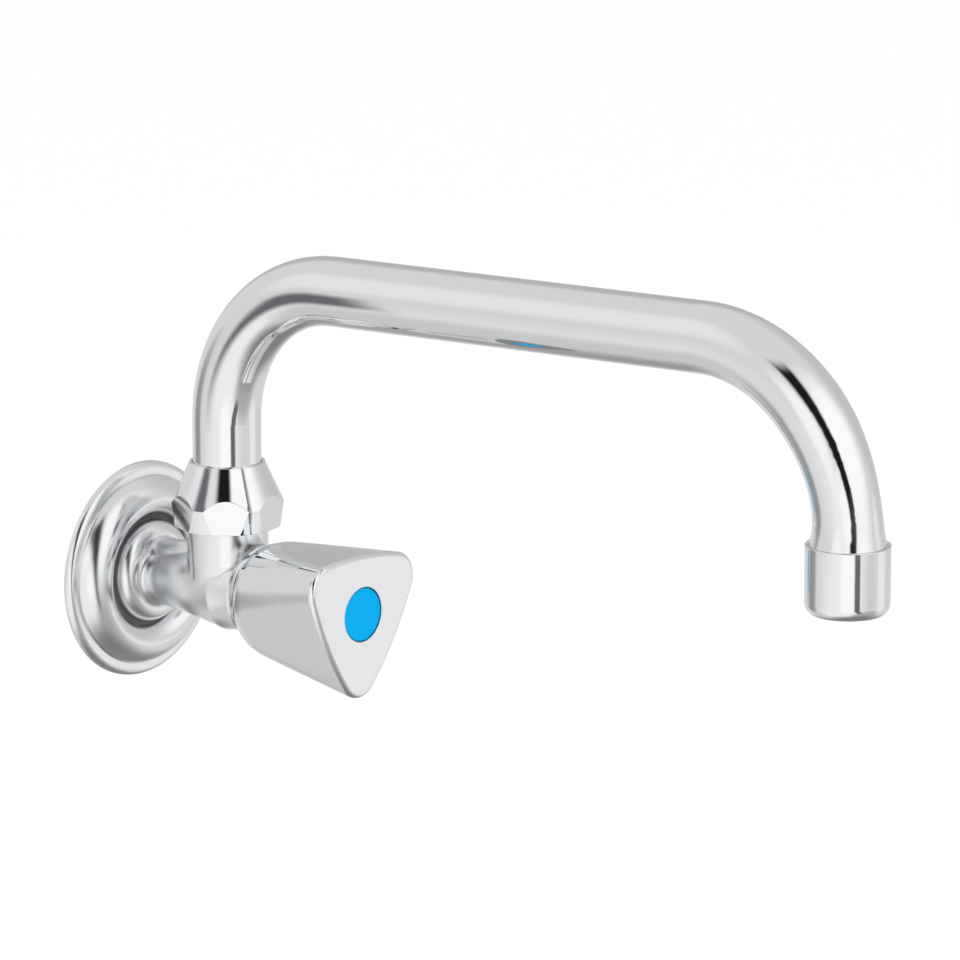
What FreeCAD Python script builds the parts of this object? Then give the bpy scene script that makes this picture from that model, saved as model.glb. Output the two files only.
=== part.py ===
"""Commercial wall faucet: one cold tap with a swivelling tube spout and a three-sided handle.

The frame: +Z is up, the wall is the plane y = 0, and the tap stands out of it along -Y.
The origin is the centre of the inlet thread where it meets the wall. Lengths are in millimetres.
A station is a distance from the wall, so a point at station s lies at y = -s.
"""
import FreeCAD, Part
import math
import os

import Sketcher

SIZES = {
    # Where the axes lie
    "riser_from_wall": (39.1, "station of the upright axis that the spout turns about"),
    "spout_reach": (247.0, "riser axis to outlet axis"),
    "moving_gap": (0.15, "all round between pieces that turn or slide on one another"),
    "seat_gap": (0.05, "all round between pieces that are screwed or pushed together"),
    # Inlet shank and collar of the body
    "inlet_thread_radius": (10.4775, "G1/2 thread, outer radius"),
    "inlet_thread_length": (16.0, "shank behind the wall plane"),
    "inlet_bore_radius": (7.0, "waterway through the shank"),
    "thread_chamfer": (1.0, "lead-in of every pipe thread"),
    "relief_radius": (9.5, "undercut where the inlet thread ends"),
    "relief_width": (0.9, "width of that undercut"),
    "collar_back": (1.5, "station of the collar's rear face"),
    "collar_radius": (16.6, "round collar in the escutcheon's hole"),
    "collar_straight": (4.0, "cylindrical part of the collar"),
    "collar_round": (4.6, "radius of the collar's domed shoulder"),
    "neck_radius": (7.3, "round neck between the collar and the column"),
    "neck_height": (4.6, "centre line of the neck above the body's axis"),
    # Barrel of the body
    "barrel_front": (51.0, "station of the barrel's front face"),
    "barrel_radius": (13.6, "barrel at its widest"),
    "barrel_back": (10.5, "station where the bell-shaped barrel starts"),
    "barrel_back_radius": (9.9, "barrel where it starts"),
    "barrel_widest": (42.0, "station of the barrel's widest circle"),
    "barrel_front_radius": (13.2, "barrel at its front edge"),
    "barrel_flank_swell": (0.45, "how far the side bulges behind the widest circle"),
    "barrel_shoulder_swell": (0.31, "how far the side bulges in front of it"),
    "barrel_edge": (0.5, "chamfer on the barrel's front edge"),
    "facing_radius": (15.5, "faced ring behind the handle, which trims the column"),
    # Column of the body
    "column_foot_radius": (12.5, "column where it leaves the barrel"),
    "column_radius": (13.0, "column under the nut"),
    "column_flare_height": (10.0, "height at which the column has its full radius"),
    "spout_thread_radius": (13.2205, "G3/4 thread of the column, outer radius"),
    "spout_thread_start": (21.8, "height of the lowest thread"),
    "column_top": (32.0, "height of the column's top face"),
    "spout_socket_radius": (9.5, "bore that the spout's spigot turns in"),
    "spout_socket_floor": (17.0, "height of the socket's shoulder"),
    "column_bore_radius": (7.5, "waterway up the column"),
    # Valve seat and chamber
    "seat_station": (26.7, "station of the seat's lip"),
    "seat_bore_radius": (5.5, "waterway through the seat"),
    "seat_lip_width": (1.1, "width of the seat's lip"),
    "seat_lip_height": (1.0, "lip above the chamber's floor"),
    "chamber_radius": (9.5, "valve chamber"),
    "headwork_thread_radius": (10.4775, "G1/2 thread of the headwork, outer radius"),
    "headwork_thread_length": (7.3, "depth of the threaded mouth"),
    # Escutcheon and its ring
    "escutcheon_radius": (35.3, "outer radius of the wall plate"),
    "escutcheon_sheet": (1.0, "thickness of the pressed sheet"),
    "escutcheon_rim_depth": (2.8, "station of the flat land inside the rim"),
    "escutcheon_rim_round": (2.2, "round of the rim"),
    "escutcheon_land": (2.0, "width of the flat land inside the rim"),
    "escutcheon_crest_radius": (24.2, "radius of the dome's crest"),
    "escutcheon_depth": (9.0, "station of the dome's crest"),
    "escutcheon_hole_radius": (18.4, "hole round the collar"),
    "escutcheon_hole_station": (4.7, "station of the hole's edge"),
    "escutcheon_flank_swell": (1.45, "how far the flank bulges between land and crest"),
    "escutcheon_roll_swell": (1.1, "how far the roll bulges between crest and hole"),
    "ring_depth": (3.0, "depth of the black ring in the hole"),
    # Union nut
    "nut_bottom": (20.6, "height of the nut's lower face"),
    "nut_widest": (28.3, "height of the nut's widest circle"),
    "nut_top": (41.45, "height of the nut's top rim"),
    "nut_across_flats": (33.0, "spanner size"),
    "nut_radius": (18.05, "widest circle of the nut"),
    "nut_foot_radius": (17.05, "lower edge of the nut"),
    "nut_rim_radius": (12.1, "top rim of the nut"),
    "nut_turn": (40.5, "direction of one flat once tightened, degrees from +X"),
    # Spout
    "tube_radius": (11.0, "outer radius of the spout tube"),
    "tube_wall": (1.5, "wall of the spout tube"),
    "arm_height": (101.0, "centre line of the arm where it crosses the riser axis"),
    "arm_rise": (2.0, "rise of the arm towards the outlet, degrees"),
    "first_bend_radius": (47.5, "bend from riser to arm, on the centre line"),
    "second_bend_radius": (53.0, "bend from arm to outlet, on the centre line"),
    "outlet_straight": (2.2, "straight end between the second bend and the aerator's rim"),
    "waist_start": (45.0, "where the tube starts to narrow, degrees before the second bend ends"),
    "waist_radius": (10.4, "narrowest place above the outlet thread"),
    "flare_radius": (11.5, "tube where it enters the aerator's rim"),
    "flare_depth": (0.5, "open groove between flare and outlet thread"),
    "outlet_thread_radius": (11.9, "M24 thread of the outlet, outer radius"),
    "outlet_thread_length": (9.5, "thread inside the aerator housing"),
    "outlet_wall": (1.6, "wall of the threaded end"),
    # Collar brazed into the foot of the tube
    "spigot_wall": (3.1, "wall of the collar's spigot"),
    "spigot_clearance": (1.5, "spigot's lower end above the socket's shoulder"),
    "spout_flange_radius": (12.3, "flange that the nut holds down"),
    "spout_flange_thickness": (2.3, "thickness of that flange"),
    "tube_plug_length": (10.0, "length of the collar inside the tube"),
    "spout_ring_section": (0.85, "section radius of the spout's o-rings"),
    "lower_ring_rise": (3.0, "lower spout o-ring above the spigot's lower end"),
    "upper_ring_drop": (4.65, "upper spout o-ring below the flange"),
    "slide_ring_radius": (12.5, "outer radius of the slide ring"),
    "slide_ring_thickness": (2.25, "thickness of the slide ring"),
    # Aerator
    "aerator_height": (20.6, "height of the housing"),
    "aerator_radius": (12.8, "outer radius of the housing"),
    "aerator_edge_height": (3.2, "height of the housing's rounded lower edge"),
    "aerator_edge_inset": (1.6, "how far that edge turns in"),
    "aerator_edge_swell": (0.42, "how far that edge bulges"),
    "aerator_thread_bevel": (0.4, "bevel at the mouth of the housing's thread"),
    "aerator_mouth_radius": (9.9, "opening at the bottom"),
    "aerator_lip": (1.0, "thickness of the lip that holds the insert"),
    "aerator_bore_radius": (11.2, "bore below the thread"),
    "aerator_gasket_thickness": (1.4, "flat rubber gasket"),
    "aerator_gasket_bore": (8.8, "hole of that gasket"),
    "screen_thickness": (0.5, "outlet screen"),
    "insert_wall": (1.2, "wall of the aerator insert"),
    "insert_hole_radius": (0.9, "jet holes of the insert"),
    "insert_hole_circle": (6.6, "radius of the circle of jet holes"),
    # Headwork: bonnet
    "gasket_thickness": (0.8, "fibre gasket on the barrel's front face"),
    "bonnet_flange_radius": (11.45, "flange on the gasket"),
    "bonnet_flange_thickness": (1.0, "thickness of that flange"),
    "bonnet_across_flats": (19.0, "spanner size of the bonnet"),
    "bonnet_hex_length": (6.0, "length of the bonnet's hexagon"),
    "bonnet_neck_radius": (6.8, "neck in front of the hexagon"),
    "bonnet_neck_length": (4.9, "length of that neck"),
    "bonnet_skirt_radius": (8.1, "skirt that reaches into the chamber"),
    "bonnet_skirt_back": (9.4, "rear end of the skirt in front of the seat"),
    "piston_bore_length": (7.7, "round bore of the skirt"),
    "guide_length": (6.6, "hexagonal bore that stops the piston turning"),
    # Headwork: piston, washer and their screw
    "valve_lift": (4.0, "travel of the piston"),
    "washer_radius": (7.6, "rubber valve washer"),
    "washer_thickness": (3.0, "thickness of that washer"),
    "piston_cup_radius": (8.0, "plate that backs the washer"),
    "piston_cup_thickness": (2.0, "thickness of that plate"),
    "piston_waist_radius": (5.4, "piston between plate and land"),
    "piston_waist_length": (1.4, "length of that stretch"),
    "piston_radius": (6.95, "land that slides in the bonnet"),
    "piston_land_length": (6.4, "length of that land"),
    "piston_across_flats": (11.8, "hexagon that slides in the guide"),
    "piston_hex_length": (6.6, "length of that hexagon"),
    "piston_ring_section": (0.78, "section radius of the piston's o-ring"),
    "piston_ring_place": (8.0, "o-ring in front of the piston's rear face"),
    "washer_screw_head_radius": (3.2, "head of the washer screw"),
    "washer_screw_head": (1.4, "height of that head"),
    "washer_screw_radius": (1.45, "shank of the washer screw"),
    "washer_screw_length": (8.0, "length of that shank"),
    "washer_screw_slot": (0.7, "width and depth of the slot in its head"),
    # Headwork: spindle
    "lift_thread_radius": (3.0, "screw that moves the piston"),
    "lift_thread_bottom": (6.4, "blind end of the piston's bore, from its rear face"),
    "thrust_radius": (5.6, "thrust collar of the spindle"),
    "thrust_thickness": (1.5, "thickness of that collar"),
    "spindle_radius": (4.0, "spindle in the bonnet"),
    "spindle_ring_section": (0.55, "section radius of the spindle's o-rings"),
    "spindle_ring_back": (3.0, "rear o-ring in front of the thrust collar"),
    "spindle_ring_pitch": (3.6, "distance between the two o-rings"),
    "circlip_thickness": (0.8, "circlip in front of the bonnet"),
    "circlip_depth": (0.8, "depth of its groove"),
    "circlip_radius": (6.0, "outer radius of the circlip"),
    "circlip_opening": (1.6, "opening of the circlip"),
    "spline_radius": (3.9, "toothed end of the spindle"),
    "spline_depth": (0.4, "depth of its teeth"),
    "spline_gap": (0.48, "gap between the tips of two teeth"),
    "spline_length": (9.5, "length of the toothed end"),
    # Handle
    "handle_gap": (1.2, "bare gap between barrel and handle"),
    "handle_length": (44.3, "base to face"),
    "handle_base_radius": (13.4, "axis to the rounded lobes at the base"),
    "handle_lobe_reach": (18.2, "axis to a lobe's straight edge, carried back to the base"),
    "handle_base_flat": (12.9, "axis to the middle of a flat flank at the base"),
    "handle_flank_reach": (17.2, "axis to a flat flank, carried back to the base"),
    "handle_face_flat": (17.9, "axis to the middle of a side of the face"),
    "handle_wall": (1.3, "wall of the hollow casting"),
    "handle_corner_reach": (27.6, "axis to the tip of a corner of the face"),
    "handle_side_radius": (110.0, "bow of the face's sides"),
    "handle_turn_at_rest": (-3.0, "how the face stands when shut, degrees"),
    "handle_face_round": (1.6, "round of the face's edge"),
    "handle_plate": (2.4, "thickness of the face"),
    "handle_boss_radius": (9.4, "boss inside the handle"),
    "bush_radius": (6.2, "plastic bush between spindle and handle"),
    "bush_length": (10.4, "length of that bush"),
    "bush_web": (3.0, "web that the handle screw clamps"),
    "cap_radius": (8.85, "index cap"),
    "cap_thickness": (2.0, "thickness of the cap"),
    "cap_recess": (0.3, "cap below the face"),
    "cap_clip_length": (3.0, "snap ring behind the cap"),
    "cap_clip_wall": (1.0, "wall of that snap ring"),
    "screw_well_radius": (7.6, "well behind the cap"),
    "screw_radius": (1.95, "shank of the handle screw"),
    "screw_length": (11.0, "length of that shank"),
    "screw_head_radius": (3.8, "head of the handle screw"),
    "screw_head": (3.2, "height of that head"),
    "screw_socket": (4.0, "across the flats of the socket in that head"),
    "screw_socket_depth": (1.6, "depth of that socket"),
}

SPINDLE_TEETH = 20
INSERT_HOLES = 12
CORNERS = (30.0, 150.0, 270.0)
# Sections of the tube's drawn-in end: share of the way from waist_start to the bend's end, and
# share of the draw from tube radius to waist radius.
WAIST_SECTIONS = ((0.0, 0.0), (0.16, 0.08), (0.38, 0.5), (0.6, 0.92), (0.78, 1.0), (0.92, 0.55))
# Sections of the handle: share of its length, and share of the rounding at its rear.
HANDLE_SECTIONS = ((0.0, 1.0), (0.04, 0.5), (0.11, 0.14), (0.22, 0.02), (0.45, 0.0), (0.72, 0.0),
                   (1.0, 0.0))
HOLLOW_SECTIONS = ((0.0, 1.0), (0.14, 0.08), (1.0, 0.0))


class Size:
    """A length that knows its number and how the sheet works it out."""

    def __init__(self, number, formula):
        self.number = number
        self.formula = formula

    def joined(self, sign, other, number):
        return Size(number, f"({self.formula} {sign} {other.formula})")

    def __add__(self, other):
        other = size(other)
        return self.joined("+", other, self.number + other.number)

    def __sub__(self, other):
        other = size(other)
        return self.joined("-", other, self.number - other.number)

    def __mul__(self, other):
        other = size(other)
        return self.joined("*", other, self.number * other.number)

    def __truediv__(self, other):
        other = size(other)
        return self.joined("/", other, self.number / other.number)

    def __radd__(self, other):
        return size(other) + self

    def __rsub__(self, other):
        return size(other) - self

    def __rmul__(self, other):
        return size(other) * self

    def __neg__(self):
        return Size(-self.number, f"(-{self.formula})")


def size(value):
    """A plain number as a Size, so that both can stand in one sum."""
    if isinstance(value, Size):
        return value
    return Size(float(value), f"({float(value)})")


def square_root(value):
    return Size(math.sqrt(value.number), f"sqrt({value.formula})")


def cosine(angle):
    angle = size(angle)
    return Size(math.cos(math.radians(angle.number)), f"cos({angle.formula})")


def sine(angle):
    angle = size(angle)
    return Size(math.sin(math.radians(angle.number)), f"sin({angle.formula})")


def tangent(angle):
    return sine(angle) / cosine(angle)


def bow(start, end, swell):
    """Radius of the arc between two points that stands off its chord by the given swell."""
    across = size(end[0]) - start[0]
    along = size(end[1]) - start[1]
    return ((across * across + along * along) / 4 + swell * swell) / (2 * swell)


def polar(reach, angle):
    """The point at a distance from the axis, in a direction given in degrees."""
    return reach * cosine(angle), reach * sine(angle)


document = FreeCAD.newDocument("WallFaucet")
sheet = document.addObject("Spreadsheet::Sheet", "sizes")
for row, (name, (number, meaning)) in enumerate(SIZES.items(), start=1):
    sheet.set(f"A{row}", meaning)
    sheet.set(f"B{row}", str(number))
    sheet.setAlias(f"B{row}", name)
document.recompute()


class Sizes:
    """Every cell of the sheet, read by its alias."""

    def __getattr__(self, name):
        return Size(SIZES[name][0], f"sizes.{name}")


s = Sizes()
parts = []


def bind(item, path, value):
    item.setExpression(path, size(value).formula)


# ---------------------------------------------------------------- sketches

def new_body(name, station=0.0, height=0.0):
    """A sub-part whose own origin lies at a station and a height on the middle plane."""
    body = document.addObject("PartDesign::Body", name)
    body.Label = name
    bind(body, "Placement.Base.y", -size(station))
    bind(body, "Placement.Base.z", height)
    parts.append(body)
    return body


def new_sketch(body, name, role, offset=0.0):
    """A sketch on one of the body's own planes, moved out along the plane's normal."""
    sketch = body.newObject("Sketcher::SketchObject", name)
    plane = next(item for item in body.Origin.OriginFeatures if item.Role == role)
    sketch.AttachmentSupport = (plane, "")
    sketch.MapMode = "FlatFace"
    bind(sketch, "AttachmentOffset.Base.z", offset)
    return sketch


def fix_distance(sketch, kind, curve, end, value):
    """Hold one coordinate of a curve's end at a value of the sheet."""
    value = size(value)
    index = sketch.addConstraint(Sketcher.Constraint(kind, -1, 1, curve, end, value.number))
    sketch.setExpression(f"Constraints[{index}]", value.formula)


def fix_radius(sketch, curve, value):
    value = size(value)
    index = sketch.addConstraint(Sketcher.Constraint("Radius", curve, value.number))
    sketch.setExpression(f"Constraints[{index}]", value.formula)


def add_arc(sketch, start, end, radius):
    """An arc from start to end: it turns left for a positive radius and right for a negative one."""
    first, last = (start, end) if radius.number > 0 else (end, start)
    bend = abs(radius.number)
    x1, y1, x2, y2 = (first[0].number, first[1].number, last[0].number, last[1].number)
    chord = math.hypot(x2 - x1, y2 - y1)
    rise = math.sqrt(max(bend * bend - chord * chord / 4, 0.0))
    centre = ((x1 + x2) / 2 - (y2 - y1) / chord * rise, (y1 + y2) / 2 + (x2 - x1) / chord * rise)
    begin = math.atan2(y1 - centre[1], x1 - centre[0])
    finish = math.atan2(y2 - centre[1], x2 - centre[0])
    circle = Part.Circle(FreeCAD.Vector(centre[0], centre[1], 0), FreeCAD.Vector(0, 0, 1), bend)
    curve = sketch.addGeometry(Part.ArcOfCircle(circle, begin, finish))
    fix_radius(sketch, curve, radius if radius.number > 0 else -radius)
    return (curve, 1, 2) if radius.number > 0 else (curve, 2, 1)


def outline(sketch, corners):
    """Close an outline through corners (x, y), or (x, y, radius) where an arc leads to the corner."""
    corners = [tuple(size(value) for value in corner) for corner in corners]
    sides = []
    for start, end in zip(corners[-1:] + corners[:-1], corners):
        if len(end) == 3:
            sides.append(add_arc(sketch, start, end, end[2]))
        else:
            points = [FreeCAD.Vector(point[0].number, point[1].number, 0) for point in (start, end)]
            sides.append((sketch.addGeometry(Part.LineSegment(*points)), 1, 2))
    for (curve, _, tail), (after, head, _), corner in zip(sides, sides[1:] + sides[:1], corners):
        sketch.addConstraint(Sketcher.Constraint("Coincident", curve, tail, after, head))
        fix_distance(sketch, "DistanceX", curve, tail, corner[0])
        fix_distance(sketch, "DistanceY", curve, tail, corner[1])


def circle(sketch, radius, x=0.0, y=0.0):
    radius, x, y = size(radius), size(x), size(y)
    centre = FreeCAD.Vector(x.number, y.number, 0)
    curve = sketch.addGeometry(Part.Circle(centre, FreeCAD.Vector(0, 0, 1), radius.number))
    fix_radius(sketch, curve, radius)
    fix_distance(sketch, "DistanceX", curve, 3, x)
    fix_distance(sketch, "DistanceY", curve, 3, y)


def hexagon(sketch, across_flats, flat_direction=30.0):
    """A regular hexagon with one flat facing the given direction."""
    corner = across_flats / math.sqrt(3)
    outline(sketch, [polar(corner, size(flat_direction) + 30.0 + 60.0 * side) for side in range(6)])


# ---------------------------------------------------------------- features

def turned(body, name, corners, upright=False, cut=False, offset=0.0):
    """Turn an outline of (radius, place) about the body's axis.

    The place is a station along the level axis, or a height along the upright one.
    """
    sketch = new_sketch(body, f"{name}_outline", "XZ_Plane" if upright else "XY_Plane", offset)
    if not upright:
        corners = [(corner[0], -size(corner[1])) + tuple(-size(bend) for bend in corner[2:])
                   for corner in corners]
    outline(sketch, corners)
    kind = "PartDesign::Groove" if cut else "PartDesign::Revolution"
    feature = body.newObject(kind, name)
    feature.Profile = sketch
    feature.ReferenceAxis = (sketch, ["V_Axis"])
    feature.Angle = 360.0
    return feature


def hollow_round(body, name, inner, outer, start, end, upright=False):
    """A plain ring or bush between two radii and two places."""
    return turned(body, name, [(inner, start), (outer, start), (outer, end), (inner, end)], upright)


def pad(body, name, sketch, length, back=False):
    feature = body.newObject("PartDesign::Pad", name)
    feature.Profile = sketch
    feature.Reversed = back
    bind(feature, "Length", length)
    return feature


def pocket(body, name, sketch, length, back=False):
    feature = body.newObject("PartDesign::Pocket", name)
    feature.Profile = sketch
    feature.Reversed = back
    bind(feature, "Length", length)
    return feature


def repeated(body, name, feature, axis_role, copies):
    """Copies of a feature all round one of the body's own axes."""
    pattern = body.newObject("PartDesign::PolarPattern", name)
    pattern.Originals = [feature]
    axis = next(item for item in body.Origin.OriginFeatures if item.Role == axis_role)
    pattern.Axis = (axis, [""])
    pattern.Angle = 360.0
    pattern.Occurrences = copies
    body.Tip = pattern
    return pattern


def swept(body, name, section, path, cut=False):
    kind = "PartDesign::SubtractivePipe" if cut else "PartDesign::AdditivePipe"
    feature = body.newObject(kind, name)
    feature.Profile = section
    feature.Spine = path
    return feature


def lofted(body, name, sections, ruled=False, cut=False):
    """A solid through several sections, with straight sides or smooth ones."""
    kind = "PartDesign::SubtractiveLoft" if cut else "PartDesign::AdditiveLoft"
    feature = body.newObject(kind, name)
    feature.Profile = sections[0]
    feature.Sections = sections[1:]
    feature.Ruled = ruled
    return feature


def rings(name, major, section, places, upright, station=0.0):
    """O-rings of one size, each its own solid, at several places along an axis."""
    members = []
    for number, place in enumerate(places, start=1):
        ring = document.addObject("Part::Torus", f"{name}_{number}")
        bind(ring, "Radius1", major)
        bind(ring, "Radius2", section)
        if upright:
            bind(ring, "Placement.Base.y", -size(station))
            bind(ring, "Placement.Base.z", place)
        else:
            ring.Placement.Rotation = FreeCAD.Rotation(FreeCAD.Vector(1, 0, 0), 90)
            bind(ring, "Placement.Base.y", -size(place))
        members.append(ring)
    group = document.addObject("Part::Compound", name)
    group.Label = name
    group.Links = members
    parts.append(group)


# ---------------------------------------------------------------- places shared by several pieces

chamber_floor = s.seat_station - s.seat_lip_height
bonnet_flange_back = s.barrel_front + s.gasket_thickness
bonnet_hex_back = bonnet_flange_back + s.bonnet_flange_thickness
bonnet_neck_back = bonnet_hex_back + s.bonnet_hex_length
bonnet_front = bonnet_neck_back + s.bonnet_neck_length
skirt_back = s.seat_station + s.bonnet_skirt_back
guide_back = skirt_back + s.piston_bore_length
guide_front = guide_back + s.guide_length
thrust_back = guide_front + s.seat_gap + s.moving_gap
thrust_front = thrust_back + s.thrust_thickness
washer_back = s.seat_station + s.moving_gap
piston_back = washer_back + s.washer_thickness
land_back = s.piston_cup_thickness + s.piston_waist_length
land_front = land_back + s.piston_land_length
piston_length = land_front + s.piston_hex_length
lift_thread_back = piston_back + s.lift_thread_bottom + s.valve_lift + s.moving_gap
circlip_back = bonnet_front + s.moving_gap
circlip_front = circlip_back + s.circlip_thickness
spline_back = circlip_front + s.circlip_thickness
spindle_front = spline_back + s.spline_length
handle_base = s.barrel_front + s.handle_gap
handle_face = handle_base + s.handle_length
bush_back = spline_back + s.seat_gap
bush_front = bush_back + s.bush_length
screw_seat = bush_front + s.seat_gap + s.bush_web
cap_front = handle_face - s.cap_recess
cap_back = cap_front - s.cap_thickness
outlet_station = s.riser_from_wall + s.spout_reach
spout_flange_bottom = s.column_top + s.moving_gap
spout_flange_top = spout_flange_bottom + s.spout_flange_thickness
tube_foot = spout_flange_top + s.moving_gap
slide_ring_top = spout_flange_top + s.moving_gap + s.slide_ring_thickness
nut_shoulder = slide_ring_top + s.seat_gap
spigot_radius = s.spout_socket_radius - s.moving_gap
spigot_bottom = s.spout_socket_floor + s.spigot_clearance
lower_ring = spigot_bottom + s.lower_ring_rise
upper_ring = spout_flange_bottom - s.upper_ring_drop
tube_bore = s.tube_radius - s.tube_wall
first_run = s.first_bend_radius * tangent((90.0 - s.arm_rise) / 2)
last_run = s.second_bend_radius * tangent((90.0 + s.arm_rise) / 2)
last_corner = s.arm_height + s.spout_reach * tangent(s.arm_rise)
bend_end = last_corner - last_run
aerator_rim = bend_end - s.outlet_straight
outlet_end = aerator_rim - s.outlet_thread_length
aerator_bottom = aerator_rim - s.aerator_height
screen_bottom = aerator_bottom + s.aerator_lip + s.seat_gap
insert_bottom = screen_bottom + s.screen_thickness + s.seat_gap
gasket_bottom = outlet_end - s.seat_gap - s.aerator_gasket_thickness
insert_top = gasket_bottom - s.seat_gap


# ---------------------------------------------------------------- valve body

def make_valve_body():
    """The chromed forging: shank, collar, neck, bell-shaped barrel and upright column."""
    body = new_body("valve_body")
    shank_end = -s.inlet_thread_length
    dome_radius = s.collar_radius - s.collar_round
    dome_front = s.collar_back + s.collar_straight + s.collar_round
    neck_fillet = dome_radius - s.barrel_back_radius
    turned(body, "shank_and_collar", [
        (0, shank_end),
        (s.inlet_thread_radius - s.thread_chamfer, shank_end),
        (s.inlet_thread_radius, shank_end + s.thread_chamfer),
        (s.inlet_thread_radius, s.collar_back - s.relief_width),
        (s.relief_radius, s.collar_back - s.relief_width),
        (s.relief_radius, s.collar_back),
        (s.collar_radius, s.collar_back),
        (s.collar_radius, s.collar_back + s.collar_straight),
        (dome_radius, dome_front, s.collar_round),
        (s.barrel_back_radius, dome_front + neck_fillet, -neck_fillet),
        (0, dome_front + neck_fillet),
    ])

    neck_section = new_sketch(body, "neck_section", "XZ_Plane", s.collar_back)
    circle(neck_section, s.neck_radius, 0.0, s.neck_height)
    pad(body, "neck", neck_section, s.riser_from_wall - s.collar_back)

    back = (s.barrel_back_radius, s.barrel_back)
    widest = (s.barrel_radius, s.barrel_widest)
    front = (s.barrel_front_radius, s.barrel_front - s.barrel_edge)
    turned(body, "barrel", [
        (0, s.barrel_back),
        back,
        (*widest, -bow(back, widest, s.barrel_flank_swell)),
        (*front, -bow(widest, front, s.barrel_shoulder_swell)),
        (s.barrel_front_radius - s.barrel_edge, s.barrel_front),
        (0, s.barrel_front),
    ])

    turned(body, "column", [
        (0, 0),
        (s.column_foot_radius, 0),
        (s.column_radius, s.column_flare_height),
        (s.column_radius, s.nut_bottom),
        (s.column_foot_radius, s.nut_bottom),
        (s.column_foot_radius, s.spout_thread_start),
        (s.spout_thread_radius, s.spout_thread_start),
        (s.spout_thread_radius, s.column_top - s.thread_chamfer),
        (s.spout_thread_radius - s.thread_chamfer, s.column_top),
        (0, s.column_top),
    ], upright=True, offset=s.riser_from_wall)

    turned(body, "facing", [
        (0, s.barrel_front),
        (s.facing_radius, s.barrel_front),
        (s.facing_radius, s.riser_from_wall + s.column_radius),
        (0, s.riser_from_wall + s.column_radius),
    ], cut=True)

    lip_radius = s.seat_bore_radius + s.seat_lip_width
    mouth_back = s.barrel_front - s.headwork_thread_length
    step = s.inlet_bore_radius - s.seat_bore_radius
    turned(body, "inlet_and_chamber", [
        (0, shank_end),
        (s.inlet_bore_radius, shank_end),
        (s.inlet_bore_radius, chamber_floor - s.seat_bore_radius),
        (s.seat_bore_radius, chamber_floor - s.seat_bore_radius + step),
        (s.seat_bore_radius, s.seat_station),
        (lip_radius, s.seat_station),
        (lip_radius, chamber_floor),
        (s.chamber_radius, chamber_floor),
        (s.chamber_radius, mouth_back),
        (s.headwork_thread_radius, mouth_back),
        (s.headwork_thread_radius, s.barrel_front),
        (0, s.barrel_front),
    ], cut=True)

    turned(body, "column_bore", [
        (0, 0),
        (s.column_bore_radius, 0),
        (s.column_bore_radius, s.spout_socket_floor),
        (s.spout_socket_radius, s.spout_socket_floor),
        (s.spout_socket_radius, s.column_top),
        (0, s.column_top),
    ], upright=True, cut=True, offset=s.riser_from_wall)


# ---------------------------------------------------------------- escutcheon

def make_wall_escutcheon():
    """The pressed wall plate: rounded rim, flat land, domed crest and an inward roll to the hole."""
    body = new_body("wall_escutcheon")
    thickness = s.escutcheon_sheet
    land_outer = s.escutcheon_radius - s.escutcheon_rim_round
    land_inner = land_outer - s.escutcheon_land
    rim_start = s.escutcheon_rim_depth - s.escutcheon_rim_round
    crest = (s.escutcheon_crest_radius, s.escutcheon_depth)
    flank_bow = bow((land_inner, s.escutcheon_rim_depth), crest, s.escutcheon_flank_swell)
    roll_bow = bow(crest, (s.escutcheon_hole_radius, s.escutcheon_hole_station),
                   s.escutcheon_roll_swell)
    turned(body, "pressing", [
        (s.escutcheon_radius, 0),
        (s.escutcheon_radius, rim_start),
        (land_outer, s.escutcheon_rim_depth, s.escutcheon_rim_round),
        (land_inner, s.escutcheon_rim_depth),
        (*crest, flank_bow),
        (s.escutcheon_hole_radius, s.escutcheon_hole_station, roll_bow),
        (s.escutcheon_hole_radius, s.escutcheon_hole_station - thickness),
        (s.escutcheon_crest_radius, s.escutcheon_depth - thickness, -roll_bow),
        (land_inner - thickness, s.escutcheon_rim_depth - thickness, -flank_bow),
        (land_outer, s.escutcheon_rim_depth - thickness),
        (s.escutcheon_radius - thickness, rim_start, -(s.escutcheon_rim_round - thickness)),
        (s.escutcheon_radius - thickness, 0),
    ])


def make_escutcheon_ring():
    """The black rubber ring between the collar and the edge of the hole."""
    body = new_body("escutcheon_ring")
    hollow_round(body, "ring", s.collar_radius + s.seat_gap, s.escutcheon_hole_radius - s.seat_gap,
                 s.escutcheon_hole_station - s.ring_depth, s.escutcheon_hole_station)


# ---------------------------------------------------------------- union nut

def make_union_nut():
    """A double cone with a spanner hexagon cut into it, and the bore for thread, ring and tube."""
    body = new_body("union_nut", s.riser_from_wall)
    thread_bore = s.spout_thread_radius + s.seat_gap
    ring_bore = s.slide_ring_radius + s.seat_gap
    tube_hole = s.tube_radius + s.moving_gap
    turned(body, "double_cone", [
        (thread_bore, s.nut_bottom),
        (s.nut_foot_radius, s.nut_bottom),
        (s.nut_radius, s.nut_widest),
        (s.nut_rim_radius, s.nut_top),
        (tube_hole, s.nut_top),
        (tube_hole, nut_shoulder),
        (ring_bore, nut_shoulder),
        (ring_bore, spout_flange_top),
        (thread_bore, spout_flange_top - (thread_bore - ring_bore)),
    ], upright=True)
    flats = new_sketch(body, "flats_outline", "XY_Plane", s.nut_bottom)
    circle(flats, s.nut_radius * 2)
    hexagon(flats, s.nut_across_flats, s.nut_turn)
    pocket(body, "flats", flats, s.nut_top - s.nut_bottom, back=True)


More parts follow.
